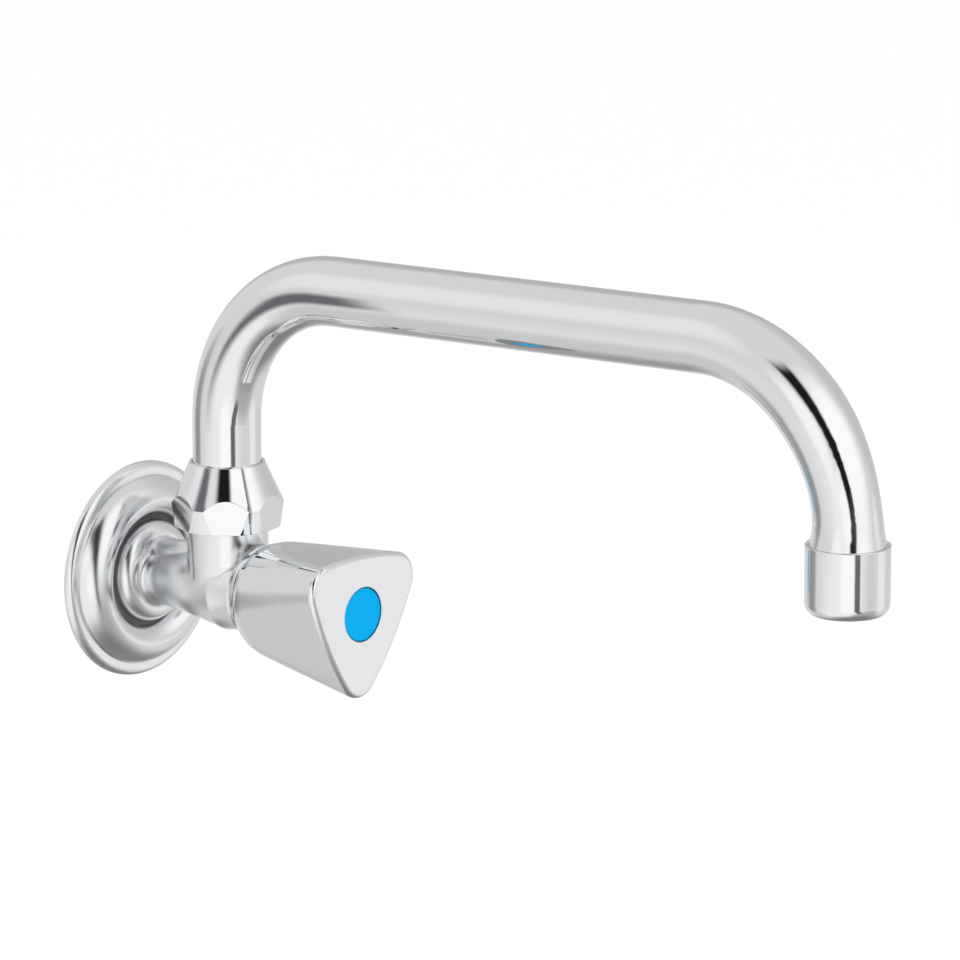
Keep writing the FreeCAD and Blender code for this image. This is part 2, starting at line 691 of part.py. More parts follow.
def make_spout_slide_ring():
    """The plastic ring on which the spout's flange turns under the nut."""
    body = new_body("spout_slide_ring", s.riser_from_wall)
    hollow_round(body, "ring", s.tube_radius + s.moving_gap, s.slide_ring_radius,
                 spout_flange_top + s.moving_gap, slide_ring_top, upright=True)


# ---------------------------------------------------------------- spout

def spout_path(body, name, points):
    """The spout's centre line: a run, the first bend, the arm, the second bend and, maybe, a run."""
    path = new_sketch(body, name, "YZ_Plane")
    previous = None
    for number, (start, end) in enumerate(zip(points[:-1], points[1:])):
        if number % 2:
            radius = s.first_bend_radius if number == 1 else s.second_bend_radius
            curve, head, tail = add_arc(path, start, end, radius)
        else:
            ends = [FreeCAD.Vector(point[0].number, point[1].number, 0) for point in (start, end)]
            curve, head, tail = path.addGeometry(Part.LineSegment(*ends)), 1, 2
        if previous:
            path.addConstraint(Sketcher.Constraint("Coincident", *previous, curve, head))
        else:
            fix_distance(path, "DistanceX", curve, head, start[0])
            fix_distance(path, "DistanceY", curve, head, start[1])
        fix_distance(path, "DistanceX", curve, tail, end[0])
        fix_distance(path, "DistanceY", curve, tail, end[1])
        previous = (curve, tail)
    return path


def second_bend_point(before_end):
    """Point of the centre line a number of degrees before the second bend ends."""
    inward = s.second_bend_radius * (1 - cosine(before_end))
    return inward - s.spout_reach, bend_end + s.second_bend_radius * sine(before_end)


def tube_section(body, name, before_end, radius):
    """A round section of the tube a number of degrees before the second bend ends."""
    along, height = second_bend_point(before_end)
    sketch = new_sketch(body, name, "XY_Plane", height)
    tilt = FreeCAD.Rotation(FreeCAD.Vector(1, 0, 0), -before_end.number)
    sketch.AttachmentOffset = FreeCAD.Placement(sketch.AttachmentOffset.Base, tilt)
    bind(sketch, "AttachmentOffset.Base.y", along)
    bind(sketch, "AttachmentOffset.Rotation.Angle", -before_end)
    circle(sketch, radius)
    return sketch


def make_spout_tube():
    """The bent tube, drawn in to a waist and flared to its outlet thread."""
    body = new_body("spout_tube", s.riser_from_wall)
    bends = [
        (size(0), tube_foot),
        (size(0), s.arm_height - first_run),
        (-(first_run * cosine(s.arm_rise)), s.arm_height + first_run * sine(s.arm_rise)),
        (-(s.spout_reach - last_run * cosine(s.arm_rise)),
         last_corner - last_run * sine(s.arm_rise)),
    ]
    path = spout_path(body, "tube_path", bends + [second_bend_point(s.waist_start)])
    section = new_sketch(body, "tube_foot", "XY_Plane", tube_foot)
    circle(section, s.tube_radius)
    swept(body, "tube", section, path)

    draw = s.tube_radius - s.waist_radius
    sections = [tube_section(body, f"waist_section_{number}", s.waist_start * (1.0 - place),
                             s.tube_radius - draw * share)
                for number, (place, share) in enumerate(WAIST_SECTIONS, start=1)]
    flare = new_sketch(body, "flare_section", "XY_Plane", aerator_rim)
    circle(flare, s.flare_radius, 0.0, -s.spout_reach)
    lofted(body, "waist", sections + [flare])
    turned(body, "outlet_end", [
        (0, aerator_rim),
        (s.flare_radius, aerator_rim),
        (s.flare_radius, aerator_rim - s.flare_depth),
        (s.outlet_thread_radius, aerator_rim - s.flare_depth),
        (s.outlet_thread_radius, outlet_end + s.thread_chamfer),
        (s.outlet_thread_radius - s.thread_chamfer, outlet_end),
        (0, outlet_end),
    ], upright=True, offset=s.spout_reach)

    whole = bends + [(-s.spout_reach, bend_end), (-s.spout_reach, outlet_end)]
    inner_path = spout_path(body, "bore_path", whole)
    inner_section = new_sketch(body, "bore_foot", "XY_Plane", tube_foot)
    circle(inner_section, tube_bore)
    swept(body, "bore", inner_section, inner_path, cut=True)
    mouth = s.outlet_thread_radius - s.outlet_wall
    turned(body, "outlet_bore", [
        (0, outlet_end),
        (mouth, outlet_end),
        (mouth, aerator_rim - s.outlet_wall),
        (tube_bore, aerator_rim),
        (0, aerator_rim),
    ], upright=True, cut=True, offset=s.spout_reach)


def make_spout_collar():
    """The brass collar in the foot of the tube: plug, flange, and spigot with two grooves."""
    body = new_body("spout_collar", s.riser_from_wall)
    plug_radius = tube_bore - s.seat_gap
    bore = spigot_radius - s.spigot_wall
    groove_floor = spout_ring_major() - s.spout_ring_section - s.seat_gap
    half_groove = s.spout_ring_section + s.moving_gap
    corners = [(bore, spigot_bottom), (spigot_radius, spigot_bottom)]
    for place in (lower_ring, upper_ring):
        corners += [
            (spigot_radius, place - half_groove),
            (groove_floor, place - half_groove),
            (groove_floor, place + half_groove),
            (spigot_radius, place + half_groove),
        ]
    corners += [
        (spigot_radius, spout_flange_bottom),
        (s.spout_flange_radius, spout_flange_bottom),
        (s.spout_flange_radius, spout_flange_top),
        (plug_radius, spout_flange_top),
        (plug_radius, spout_flange_top + s.tube_plug_length),
        (bore, spout_flange_top + s.tube_plug_length),
    ]
    turned(body, "collar", corners, upright=True)


def spout_ring_major():
    """Middle circle of the spout's o-rings, which just clear the socket."""
    return s.spout_socket_radius - s.moving_gap / 2 - s.spout_ring_section


def make_spout_o_rings():
    rings("spout_o_rings", spout_ring_major(), s.spout_ring_section,
          [lower_ring, upper_ring], upright=True, station=s.riser_from_wall)


# ---------------------------------------------------------------- aerator

def make_aerator_housing():
    """The screwed cup at the outlet, with a rounded lower edge and a lip that holds the insert."""
    body = new_body("aerator_housing", outlet_station)
    thread_bore = s.outlet_thread_radius + s.seat_gap
    edge_inner = (s.aerator_radius - s.aerator_edge_inset, aerator_bottom)
    edge_outer = (s.aerator_radius, aerator_bottom + s.aerator_edge_height)
    turned(body, "cup", [
        (s.aerator_mouth_radius, aerator_bottom),
        edge_inner,
        (*edge_outer, bow(edge_inner, edge_outer, s.aerator_edge_swell)),
        (s.aerator_radius, aerator_rim),
        (thread_bore + s.aerator_thread_bevel, aerator_rim),
        (thread_bore, aerator_rim - s.aerator_thread_bevel),
        (thread_bore, gasket_bottom - s.seat_gap),
        (s.aerator_bore_radius, gasket_bottom - s.thread_chamfer),
        (s.aerator_bore_radius, aerator_bottom + s.aerator_lip),
        (s.aerator_mouth_radius, aerator_bottom + s.aerator_lip),
    ], upright=True)


def make_aerator_gasket():
    body = new_body("aerator_gasket", outlet_station)
    hollow_round(body, "gasket", s.aerator_gasket_bore, s.outlet_thread_radius - s.seat_gap,
                 gasket_bottom, gasket_bottom + s.aerator_gasket_thickness, upright=True)


def make_aerator_insert():
    """The plastic cartridge: a cup whose lid has a circle of jet holes."""
    body = new_body("aerator_insert", outlet_station)
    outer = s.aerator_bore_radius - s.seat_gap
    turned(body, "cartridge", [
        (0, insert_top - s.insert_wall),
        (outer - s.insert_wall, insert_top - s.insert_wall),
        (outer - s.insert_wall, insert_bottom),
        (outer, insert_bottom),
        (outer, insert_top),
        (0, insert_top),
    ], upright=True)
    hole = new_sketch(body, "jet_hole_outline", "XY_Plane", insert_top)
    circle(hole, s.insert_hole_radius, s.insert_hole_circle)
    jet = pocket(body, "jet_hole", hole, s.insert_wall)
    repeated(body, "jet_holes", jet, "Z_Axis", INSERT_HOLES)


def make_aerator_screen():
    body = new_body("aerator_screen", outlet_station)
    disc = new_sketch(body, "disc_outline", "XY_Plane", screen_bottom)
    circle(disc, s.aerator_bore_radius - s.seat_gap)
    pad(body, "disc", disc, s.screen_thickness)


# ---------------------------------------------------------------- headwork

def make_bonnet_gasket():
    body = new_body("bonnet_gasket", s.barrel_front)
    hollow_round(body, "gasket", s.headwork_thread_radius + s.seat_gap, s.bonnet_flange_radius,
                 0, s.gasket_thickness)


def make_bonnet():
    """The housing of the headwork: skirt, thread, flange, spanner hexagon and neck."""
    body = new_body("bonnet")
    piston_bore = s.piston_radius + s.moving_gap
    recess = s.thrust_radius + s.moving_gap
    shaft_bore = s.spindle_radius + s.moving_gap
    thread_radius = s.headwork_thread_radius - s.seat_gap
    thread_back = s.barrel_front - s.headwork_thread_length + s.thread_chamfer
    turned(body, "housing", [
        (shaft_bore, thrust_front + s.moving_gap),
        (recess, thrust_front + s.moving_gap),
        (recess, guide_back),
        (piston_bore, guide_back),
        (piston_bore, skirt_back),
        (s.bonnet_skirt_radius, skirt_back),
        (s.bonnet_skirt_radius, thread_back - s.thread_chamfer),
        (thread_radius - s.thread_chamfer, thread_back - s.thread_chamfer),
        (thread_radius, thread_back),
        (thread_radius, bonnet_flange_back),
        (s.bonnet_flange_radius, bonnet_flange_back),
        (s.bonnet_flange_radius, bonnet_hex_back),
        (s.bonnet_neck_radius, bonnet_hex_back),
        (s.bonnet_neck_radius, bonnet_front),
        (shaft_bore, bonnet_front),
    ])
    spanner = new_sketch(body, "spanner_outline", "XZ_Plane", bonnet_hex_back)
    hexagon(spanner, s.bonnet_across_flats)
    circle(spanner, s.bonnet_neck_radius)
    pad(body, "spanner_hexagon", spanner, s.bonnet_hex_length)
    guide = new_sketch(body, "guide_outline", "XZ_Plane", guide_back)
    hexagon(guide, s.piston_across_flats + s.moving_gap * 2)
    pocket(body, "piston_guide", guide, s.guide_length, back=True)


def make_spindle():
    """The spindle: lifting screw, thrust collar, shaft with two grooves, circlip groove and teeth."""
    body = new_body("spindle")
    groove_floor = spindle_ring_major() - s.spindle_ring_section - s.seat_gap
    half_groove = s.spindle_ring_section + s.moving_gap
    clip_floor = s.spindle_radius - s.circlip_depth
    bore = s.screw_radius + s.seat_gap
    bore_depth = screw_seat - s.screw_length - s.moving_gap
    corners = [
        (0, lift_thread_back),
        (s.lift_thread_radius, lift_thread_back),
        (s.lift_thread_radius, thrust_back),
        (s.thrust_radius, thrust_back),
        (s.thrust_radius, thrust_front),
        (s.spindle_radius, thrust_front),
    ]
    for place in spindle_ring_places():
        corners += [
            (s.spindle_radius, place - half_groove),
            (groove_floor, place - half_groove),
            (groove_floor, place + half_groove),
            (s.spindle_radius, place + half_groove),
        ]
    corners += [
        (s.spindle_radius, circlip_back - s.seat_gap),
        (clip_floor, circlip_back - s.seat_gap),
        (clip_floor, circlip_front + s.seat_gap),
        (s.spline_radius, circlip_front + s.seat_gap),
        (s.spline_radius, spindle_front),
        (bore, spindle_front),
        (bore, bore_depth),
        (0, bore_depth),
    ]
    turned(body, "shaft", corners)
    tooth = new_sketch(body, "tooth_gap_outline", "XZ_Plane", spline_back)
    outline(tooth, [
        (s.spline_radius + s.spline_depth, s.spline_gap),
        (s.spline_radius - s.spline_depth, 0),
        (s.spline_radius + s.spline_depth, -s.spline_gap),
    ])
    gap = pocket(body, "tooth_gap", tooth, s.spline_length, back=True)
    repeated(body, "teeth", gap, "Y_Axis", SPINDLE_TEETH)


def spindle_ring_major():
    """Middle circle of the spindle's o-rings, which just clear the bonnet's bore."""
    return s.spindle_radius + s.moving_gap / 2 - s.spindle_ring_section


def spindle_ring_places():
    first = thrust_front + s.spindle_ring_back
    return [first, first + s.spindle_ring_pitch]


def make_spindle_o_rings():
    rings("spindle_o_rings", spindle_ring_major(), s.spindle_ring_section, spindle_ring_places(),
          upright=False)


def make_spindle_circlip():
    body = new_body("spindle_circlip")
    inner = s.spindle_radius - s.circlip_depth + s.seat_gap
    hollow_round(body, "clip", inner, s.circlip_radius, circlip_back, circlip_front)
    opening = new_sketch(body, "opening_outline", "XZ_Plane", circlip_back)
    half = s.circlip_opening / 2
    above = s.circlip_radius * 2
    outline(opening, [(-half, 0), (half, 0), (half, above), (-half, above)])
    pocket(body, "opening", opening, s.circlip_thickness, back=True)


# ---------------------------------------------------------------- piston

def make_valve_piston():
    """The piston: backing plate, grooved land, hexagon that cannot turn, threaded bore."""
    body = new_body("valve_piston", piston_back)
    groove_floor = piston_ring_major() - s.piston_ring_section - s.seat_gap
    half_groove = s.piston_ring_section + s.moving_gap
    turned(body, "piston", [
        (0, 0),
        (s.piston_cup_radius, 0),
        (s.piston_cup_radius, s.piston_cup_thickness),
        (s.piston_waist_radius, s.piston_cup_thickness),
        (s.piston_waist_radius, land_back),
        (s.piston_radius, land_back),
        (s.piston_radius, s.piston_ring_place - half_groove),
        (groove_floor, s.piston_ring_place - half_groove),
        (groove_floor, s.piston_ring_place + half_groove),
        (s.piston_radius, s.piston_ring_place + half_groove),
        (s.piston_radius, land_front),
        (0, land_front),
    ])
    guided = new_sketch(body, "guided_outline", "XZ_Plane", land_front)
    hexagon(guided, s.piston_across_flats)
    pad(body, "guided_hexagon", guided, s.piston_hex_length)
    turned(body, "lift_thread_bore", [
        (0, s.lift_thread_bottom),
        (s.lift_thread_radius + s.moving_gap, s.lift_thread_bottom),
        (s.lift_thread_radius + s.moving_gap, piston_length),
        (0, piston_length),
    ], cut=True)
    hole = s.washer_screw_radius + s.seat_gap
    hole_depth = s.washer_screw_length - s.washer_thickness + s.seat_gap
    turned(body, "screw_hole", [(0, 0), (hole, 0), (hole, hole_depth), (0, hole_depth)], cut=True)


def piston_ring_major():
    """Middle circle of the piston's o-ring, which just clears the bonnet's bore."""
    return s.piston_radius + s.moving_gap / 2 - s.piston_ring_section


def make_piston_o_ring():
    rings("piston_o_ring", piston_ring_major(), s.piston_ring_section,
          [piston_back + s.piston_ring_place], upright=False)


def make_valve_washer():
    body = new_body("valve_washer", washer_back)
    hollow_round(body, "washer", s.washer_screw_radius + s.seat_gap, s.washer_radius,
                 0, s.washer_thickness)


def make_washer_screw():
    body = new_body("washer_screw", washer_back)
    turned(body, "screw", [
        (0, -s.washer_screw_head),
        (s.washer_screw_head_radius, -s.washer_screw_head),
        (s.washer_screw_head_radius, 0),
        (s.washer_screw_radius, 0),
        (s.washer_screw_radius, s.washer_screw_length),
        (0, s.washer_screw_length),
    ])
    slot = new_sketch(body, "slot_outline", "XZ_Plane", -s.washer_screw_head)
    half_width = s.washer_screw_slot / 2
    past_head = s.washer_screw_head_radius * 2
    outline(slot, [
        (-past_head, -half_width),
        (past_head, -half_width),
        (past_head, half_width),
        (-past_head, half_width),
    ])
    pocket(body, "slot", slot, s.washer_screw_slot, back=True)


# ---------------------------------------------------------------- handle

def rounded_triangle(sketch, reach, flat):
    """Three round corners joined by slightly bowed sides, all tangent to one another."""
    centre = 2 * (reach - flat)
    corner_radius = reach - centre
    from_side = s.handle_side_radius - corner_radius
    back_off = (square_root(4 * from_side * from_side - 3 * centre * centre) - centre) / 2
    share = s.handle_side_radius / from_side
    corners = []
    for direction in CORNERS:
        middle = direction + s.handle_turn_at_rest
        outward = polar(share * centre, middle)
        before = polar((share - 1) * back_off, middle - 60.0)
        after = polar((share - 1) * back_off, middle + 60.0)
        corners.append((outward[0] + before[0], outward[1] + before[1], s.handle_side_radius))
        corners.append((outward[0] + after[0], outward[1] + after[1], corner_radius))
    outline(sketch, corners)


def handle_sections(body, name, places, length, inset):
    """Outlines of the handle from base to face, each drawn in by the inset."""
    sketches = []
    for number, (place, rounding) in enumerate(places, start=1):
        straight = s.handle_lobe_reach + (s.handle_corner_reach - s.handle_lobe_reach) * place
        reach = straight - (s.handle_lobe_reach - s.handle_base_radius) * rounding
        straight_flat = s.handle_flank_reach + (s.handle_face_flat - s.handle_flank_reach) * place
        flat = straight_flat - (s.handle_flank_reach - s.handle_base_flat) * rounding
        sketch = new_sketch(body, f"{name}_{number}", "XZ_Plane", length * place)
        rounded_triangle(sketch, reach - inset, flat - inset)
        sketches.append(sketch)
    return sketches


def make_handle():
    """The hollow cast handle, which grows from a round base to a three-cornered face."""
    body = new_body("handle", handle_base)
    shell = lofted(body, "shell",
                   handle_sections(body, "shell_section", HANDLE_SECTIONS, s.handle_length, 0.0))
    document.recompute()
    edges = [f"Edge{number}" for number, edge in enumerate(shell.Shape.Edges, start=1)
             if abs(edge.BoundBox.YMin + s.handle_length.number) < 1e-3
             and abs(edge.BoundBox.YMax + s.handle_length.number) < 1e-3]
    rounding = body.newObject("PartDesign::Fillet", "face_edge")
    rounding.Base = (shell, edges)
    bind(rounding, "Radius", s.handle_face_round)
    lofted(body, "hollow",
           handle_sections(body, "hollow_section", HOLLOW_SECTIONS,
                           s.handle_length - s.handle_plate, s.handle_wall),
           ruled=True, cut=True)

    bush_hole = s.bush_radius + s.seat_gap
    turned(body, "boss", [
        (bush_hole, spline_back - handle_base),
        (s.handle_boss_radius, spline_back - handle_base),
        (s.handle_boss_radius, s.handle_length - s.handle_plate),
        (bush_hole, s.handle_length - s.handle_plate),
    ])
    web_back = bush_front + s.seat_gap - handle_base
    turned(body, "web", [
        (s.screw_radius + s.seat_gap, web_back),
        (s.handle_boss_radius, web_back),
        (s.handle_boss_radius, screw_seat - handle_base),
        (s.screw_radius + s.seat_gap, screw_seat - handle_base),
    ])
    turned(body, "cap_seat", [
        (0, screw_seat - handle_base),
        (s.screw_well_radius, screw_seat - handle_base),
        (s.screw_well_radius, cap_back - handle_base - s.seat_gap),
        (s.cap_radius + s.seat_gap, cap_back - handle_base - s.seat_gap),
        (s.cap_radius + s.seat_gap, s.handle_length),
        (0, s.handle_length),
    ], cut=True)


def make_spline_bush():
    body = new_body("spline_bush", bush_back)
    hollow_round(body, "bush", s.spline_radius + s.seat_gap, s.bush_radius, 0, s.bush_length)


def make_handle_screw():
    """The socket screw that holds the handle on the spindle."""
    body = new_body("handle_screw", screw_seat)
    turned(body, "screw", [
        (0, -s.screw_length),
        (s.screw_radius, -s.screw_length),
        (s.screw_radius, s.seat_gap),
        (s.screw_head_radius, s.seat_gap),
        (s.screw_head_radius, s.screw_head),
        (0, s.screw_head),
    ])
    socket = new_sketch(body, "socket_outline", "XZ_Plane", s.screw_head)
    hexagon(socket, s.screw_socket)
    pocket(body, "socket", socket, s.screw_socket_depth)


def make_index_cap():
    """The round cap in the handle's face, with a snap ring behind it."""
    body = new_body("index_cap", cap_back)
    clip_radius = s.screw_well_radius - s.seat_gap
    turned(body, "cap", [
        (0, 0),
        (clip_radius - s.cap_clip_wall, 0),
        (clip_radius - s.cap_clip_wall, -s.cap_clip_length),
        (clip_radius, -s.cap_clip_length),
        (clip_radius, 0),
        (s.cap_radius, 0),
        (s.cap_radius, s.cap_thickness),
        (0, s.cap_thickness),
    ])


# ---------------------------------------------------------------- build and write

MAKERS = (
    make_valve_body, make_wall_escutcheon, make_escutcheon_ring, make_union_nut, make_spout_slide_ring,
    make_spout_tube, make_spout_collar, make_spout_o_rings,
    make_aerator_housing, make_aerator_gasket, make_aerator_insert, make_aerator_screen,
    make_bonnet_gasket, make_bonnet, make_spindle, make_spindle_o_rings, make_spindle_circlip,
    make_valve_piston, make_piston_o_ring, make_valve_washer, make_washer_screw,
    make_handle, make_spline_bush, make_handle_screw, make_index_cap,
)

for make in MAKERS:
    make()
document.recompute()

for item in document.Objects:
    if "Invalid" in item.State or "Error" in item.State:
        raise RuntimeError(f"{item.Label} did not build: {item.State}")
for part in parts:
    if part.Shape.isNull() or not part.Shape.isValid():
        raise RuntimeError(f"{part.Label} has no sound solid")

os.makedirs("parts", exist_ok=True)
for part in parts:
    part.Shape.exportStep(f"parts/{part.Label}.step")
    print(f"{part.Label}: {len(part.Shape.Solids)} solid(s), {part.Shape.Volume:.1f} cubic mm")
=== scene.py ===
"""Looks and studio of the commercial wall faucet: polished chrome, a blue index cap and soft light.

Lengths are in metres in the part's own frame: +Z is up, and the wall is the plane y = 0.
"""
import math

import bmesh
import bpy
from bpy.props import FloatProperty, FloatVectorProperty, PointerProperty
from mathutils import Matrix, Vector


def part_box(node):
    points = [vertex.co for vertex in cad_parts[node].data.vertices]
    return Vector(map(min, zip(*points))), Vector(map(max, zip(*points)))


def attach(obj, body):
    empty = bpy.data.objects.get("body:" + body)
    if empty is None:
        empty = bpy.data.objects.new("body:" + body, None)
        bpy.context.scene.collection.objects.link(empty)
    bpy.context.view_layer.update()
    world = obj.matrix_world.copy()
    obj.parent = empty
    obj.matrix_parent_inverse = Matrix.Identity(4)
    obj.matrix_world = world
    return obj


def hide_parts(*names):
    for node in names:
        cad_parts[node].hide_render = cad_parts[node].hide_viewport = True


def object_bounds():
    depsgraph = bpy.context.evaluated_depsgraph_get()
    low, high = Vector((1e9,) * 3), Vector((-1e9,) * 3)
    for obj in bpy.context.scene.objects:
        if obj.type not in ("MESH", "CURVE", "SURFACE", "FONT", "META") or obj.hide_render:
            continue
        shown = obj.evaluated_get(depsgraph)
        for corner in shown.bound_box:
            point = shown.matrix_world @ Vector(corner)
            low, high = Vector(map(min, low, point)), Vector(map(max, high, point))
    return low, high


bl_info = {
    "name": "Commercial Wall Faucet",
    "version": (1, 0, 0),
    "blender": (4, 5, 0),
    "location": "3D View > Sidebar > Faucet",
    "description": "Finishes, fine pieces, studio and camera of a commercial wall faucet",
    "category": "Object",
}

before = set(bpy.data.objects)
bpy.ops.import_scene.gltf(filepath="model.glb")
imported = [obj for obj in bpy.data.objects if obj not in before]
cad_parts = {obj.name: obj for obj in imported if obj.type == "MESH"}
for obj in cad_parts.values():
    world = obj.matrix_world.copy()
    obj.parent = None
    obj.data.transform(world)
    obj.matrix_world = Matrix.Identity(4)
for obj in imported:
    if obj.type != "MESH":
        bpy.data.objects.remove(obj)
cad_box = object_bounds()

# Nodes of the frame that share a finish.
CHROMED = ("union_nut", "spout_tube", "aerator_housing", "handle")
BRASS = ("spout_collar", "bonnet", "spindle", "valve_piston")
STEEL = ("spindle_circlip", "handle_screw", "washer_screw")
RUBBER = ("spout_o_rings", "spindle_o_rings", "piston_o_ring", "valve_washer", "aerator_gasket")
GREY_RUBBER = ("escutcheon_ring",)
PLASTIC = ("spout_slide_ring", "aerator_insert", "spline_bush")
FIBRE = ("bonnet_gasket",)

# The inlet's pipe thread, from the relief behind the collar to the end of the shank.
THREAD_START = -0.0006
THREAD_END = 0.016
THREAD_RADIUS = 0.0104775
THREAD_PITCH = 0.001814
THREAD_DEPTH = 0.00116
THREAD_CHAMFER = 0.001
THREAD_FLATS = 1.25  # height of the wave whose tips are cut off to make flat crests and roots
THREAD_ROWS = 12  # rows of points to a pitch
THREAD_SIDES = 96
RELIEF_RADIUS = 0.0095
BORE_RADIUS = 0.007
SHANK_SLACK = 0.00001  # the solid's faces may start this much before the thread
BORE_SLACK = 1.02  # faces within this many bore radii belong to the bore and stay

# The aerator's woven screen.
WIRE_RADIUS = 0.00012
WIRE_PITCH = 0.00085
WIRE_SIDES = 6
WIRE_STEPS = 4  # rings of points from one crossing to the next

# The index cap: its rounded edge, and its painted shade towards the rim, where it meets its seat, as shares
# of the radius and of the colour.
CAP_ROUNDING = 0.00022
CAP_ROUNDING_STEPS = 3
CAP_EDGE_ANGLE = math.radians(50.0)
# Painted shade: the cap's colour darkens over the outer share of its radius.
CAP_PAINTED_SHADE_RIM = (0.93, 0.975)
CAP_PAINTED_SHADE_LEVEL = 0.3

# Polish of the chrome: noise scales in waves per metre, depths and softened edges in metres.
HAZE_SCALE = 35.0
HAZE_SPREAD = 0.3
WAVE_SCALE = 40.0
WAVE_DEPTH = 0.00001
GRAIN_SCALE = 2500.0
GRAIN_DEPTH = 0.0000006
EDGE_SAMPLES = 6
POLISHED_EDGE = 0.0003
CAST_EDGE = 0.0014
BARE_BRASS = ((0.62, 0.42, 0.16), (0.76, 0.55, 0.24))
BARE_BRASS_SCALE = 220.0
BARE_BRASS_GLOSS = 0.28

# Soft patches of the room that the chrome mirrors: azimuth and elevation of the middle, half width
# and softness of the edge, all in degrees, and brightness.
ROOM_PATCHES = (
    (-155.0, -45.0, 48.0, 26.0, 0.98),
    (-95.0, 30.0, 34.0, 16.0, 1.12),
    (-175.0, 14.0, 15.0, 9.0, 1.06),
    (-85.0, -46.0, 26.0, 12.0, 0.46),
    (-60.0, -82.0, 28.0, 20.0, 0.22),
    (-41.0, -14.0, 12.0, 7.0, 0.93),
    (0.0, 20.0, 24.0, 20.0, 0.6),
    (42.0, 13.0, 17.0, 14.0, 0.5),
    (134.0, 30.0, 12.0, 16.0, 0.9),
    (-144.0, -10.0, 15.0, 9.0, 1.12),
    (112.0, -47.0, 16.0, 14.0, 0.66),
    (32.0, -62.0, 22.0, 18.0, 0.26),
    (105.0, -17.0, 13.0, 9.0, 0.33),
)
# The dark flag: azimuth and elevation of its foot and top, then, as sines, the half widths and soft
# edges at the two, where its tone goes over from foot to top, and how its tips fade.
FLAG_ENDS = ((-107.0, -30.0), (-170.0, 54.0))
FLAG_WIDTHS = (0.1, 0.23)
FLAG_EDGES = (0.02, 0.08)
FLAG_TONE_STEP = (-0.5, -0.1)
FLAG_TIPS = (-0.04, 0.06)
FLAG_HEMISPHERE = (0.0, 0.1)
# The small dark card that shades the side of the first bend; its middle is solid and its rim clear.
CARD_MIDDLE = Vector((-0.0869, -0.0135, 0.072))
CARD_AIM = Vector((-0.011, -0.072, 0.097))
CARD_SIZE = (0.03, 0.04)
CARD_SOLID = 0.3
CARD_COLOUR = (0.16, 0.16, 0.17, 1.0)
# The floor is partly matt, which holds the shadow, and partly white of its own to the camera.
FLOOR_REACH = 12.0
FLOOR_COLOUR = (0.8, 0.8, 0.8, 1.0)
FLOOR_GLOW = 0.88
FLOOR_STRENGTH = 1.04
LAMP_SIZE = (1.6, 1.2)
LAMP_PLACE = Vector((-0.4, -0.6, 1.5))
LAMP_AIM = Vector((0.0, -0.15, 0.03))
WHITE = (1.0, 1.0, 1.0, 1.0)
SENSOR_WIDTH = 36.0
CLIP_RANGE = (0.1, 60.0)


# ---------------------------------------------------------------- settings

class FinishSettings(bpy.types.PropertyGroup):
    """Colours and gloss of the tap's materials."""

    chrome_tint: FloatVectorProperty(
        name="Chrome tint", description="Colour that the plating reflects",
        subtype="COLOR", size=3, min=0.0, max=1.0, default=(0.84, 0.85, 0.86))
    chrome_gloss: FloatProperty(
        name="Chrome roughness", description="Mean roughness of the polished plating",
        subtype="FACTOR", min=0.0, max=1.0, default=0.07)
    casting_gloss: FloatProperty(
        name="Casting roughness", description="Mean roughness of the plated casting and wall plate",
        subtype="FACTOR", min=0.0, max=1.0, default=0.2)
    cap_blue: FloatVectorProperty(
        name="Cap blue", description="Colour of the cold-water index cap",
        subtype="COLOR", size=3, min=0.0, max=1.0, default=(0.0, 0.47, 0.97))


class CameraSettings(bpy.types.PropertyGroup):
    """Where the photograph was taken from."""

    azimuth: FloatProperty(
        name="Azimuth", description="Direction of the camera round the tap",
        subtype="ANGLE", default=math.radians(-50.14))
    elevation: FloatProperty(
        name="Elevation", description="Height of the camera above the horizon",
        subtype="ANGLE", default=math.radians(13.17))
    distance: FloatProperty(
        name="Distance", description="Camera to the point it looks at",
        subtype="DISTANCE", unit="LENGTH", default=2.0)
    lens: FloatProperty(
        name="Lens", description="Focal length on a 36 mm sensor, in millimetres",
        subtype="DISTANCE_CAMERA", unit="CAMERA", default=235.5)
    target: FloatVectorProperty(
        name="Target", description="Point in the middle of the picture",
        subtype="TRANSLATION", unit="LENGTH", size=3, default=(0.04294, -0.1087, 0.0378))


class StudioSettings(bpy.types.PropertyGroup):
    """Floor and light of the studio."""

    floor_drop: FloatProperty(
        name="Floor drop", description="Floor below the lowest point of the tap",
        subtype="DISTANCE", unit="LENGTH", default=0.3)
    room_light: FloatProperty(
        name="Room light", description="Strength of the light from all round",
        min=0.0, default=0.75)
    wall_tone: FloatProperty(
        name="Wall tone", description="Brightness of the room's walls as the chrome mirrors them",
        min=0.0, max=2.0, default=0.75)
    flag_tone: FloatProperty(
        name="Flag tone", description="Brightness of the dark flag's top, which draws lines on the chrome",
        min=0.0, max=1.0, default=0.01)
    flag_foot_tone: FloatProperty(
        name="Flag foot tone", description="Brightness of the dark flag's foot",
        min=0.0, max=1.0, default=0.16)
    lamp_power: FloatProperty(
        name="Lamp power", description="Power of the large lamp overhead",
        unit="POWER", min=0.0, default=18.0)


def direction(azimuth, elevation):
    """Unit vector of a direction given in degrees: azimuth from +X towards +Y, then up."""
    turn = math.radians(azimuth)
    rise = math.radians(elevation)
    return Vector((math.cos(turn) * math.cos(rise), math.sin(turn) * math.cos(rise), math.sin(rise)))


# ---------------------------------------------------------------- material helpers

